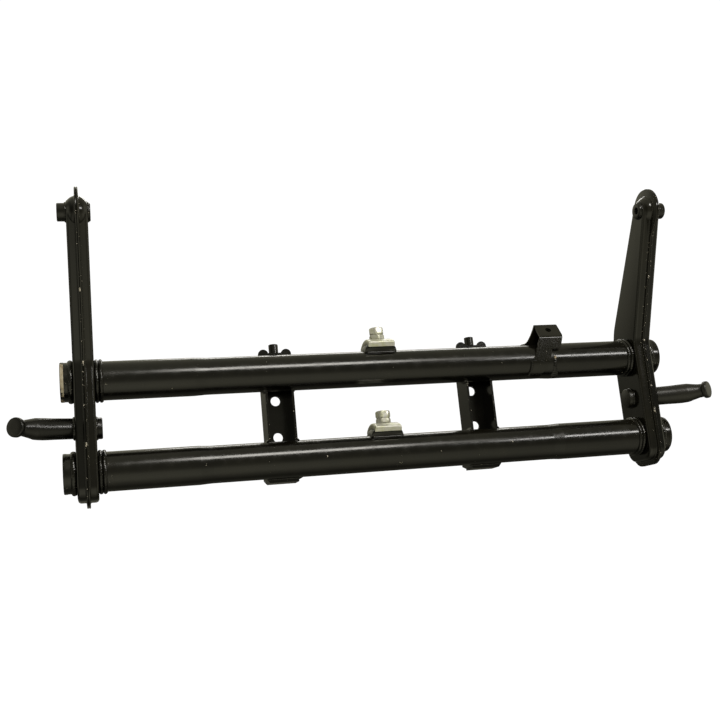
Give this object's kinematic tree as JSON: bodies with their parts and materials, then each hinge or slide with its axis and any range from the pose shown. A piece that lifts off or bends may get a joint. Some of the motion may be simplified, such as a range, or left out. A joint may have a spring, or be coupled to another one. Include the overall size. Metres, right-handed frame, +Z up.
{
  "type": "torsion bar front axle beam",
  "caption": "Twin-tube torsion-bar front axle beam with shock towers, bump stop horns, frame brackets and a turning ride-height adjuster on each tube.",
  "frame": {"origin": "centre of the four frame bolt holes, on the rear faces of the two bracket webs", "axes": "+X along the tubes towards the side that has the steering damper bracket, +Y towards the vehicle's frame that the beam bolts to, +Z up in the plane of the two tube axes"},
  "size_m": [1.2438, 0.2113, 0.4952],
  "materials": {
    "gloss_black": "gloss black paint",
    "zinc_plate": "zinc plated, slightly yellow",
    "dark_steel": "oiled steel",
    "bearing_steel": "ground"
  },
  "bodies": {
    "beam": {"upper_tube": "gloss_black", "lower_tube": "gloss_black", "left_outer_shell": "gloss_black", "left_inner_shell": "gloss_black", "left_shock_sleeve": "gloss_black", "left_bump_horn": "gloss_black", "left_upper_inner_weld": "gloss_black", "left_upper_outer_weld": "gloss_black", "left_lower_inner_weld": "gloss_black", "left_lower_outer_weld": "gloss_black", "right_outer_shell": "gloss_black", "right_inner_shell": "gloss_black", "right_shock_sleeve": "gloss_black", "right_bump_horn": "gloss_black", "right_upper_inner_weld": "gloss_black", "right_upper_outer_weld": "gloss_black", "right_lower_inner_weld": "gloss_black", "right_lower_outer_weld": "gloss_black", "left_frame_bracket": "gloss_black", "left_body_boss": "gloss_black", "right_frame_bracket": "gloss_black", "right_body_boss": "gloss_black", "damper_bracket": "gloss_black", "damper_weld_nut": "gloss_black", "upper_adjuster_base": "gloss_black", "lower_adjuster_base": "gloss_black", "left_upper_bearing": "bearing_steel", "left_lower_bearing": "bearing_steel", "right_upper_bearing": "bearing_steel", "right_lower_bearing": "bearing_steel", "left_upper_bush": "bearing_steel", "left_lower_bush": "bearing_steel", "right_upper_bush": "bearing_steel", "right_lower_bush": "bearing_steel"},
    "upper_adjuster": {"upper_clamp_plate": "zinc_plate", "upper_locknut": "zinc_plate", "upper_set_screw": "zinc_plate", "upper_anchor": "dark_steel"},
    "lower_adjuster": {"lower_clamp_plate": "zinc_plate", "lower_locknut": "zinc_plate", "lower_set_screw": "zinc_plate", "lower_anchor": "dark_steel"}
  },
  "joints": [
    {"name": "upper_adjuster_turn", "type": "hinge", "parent": "beam", "child": "upper_adjuster", "pos_m": [0, -0.0405, 0.075], "axis": [1, 0, 0], "range_deg": [-9, 9]},
    {"name": "lower_adjuster_turn", "type": "hinge", "parent": "beam", "child": "lower_adjuster", "pos_m": [0, -0.0405, -0.075], "axis": [1, 0, 0], "range_deg": [-9, 9]}
  ]
}
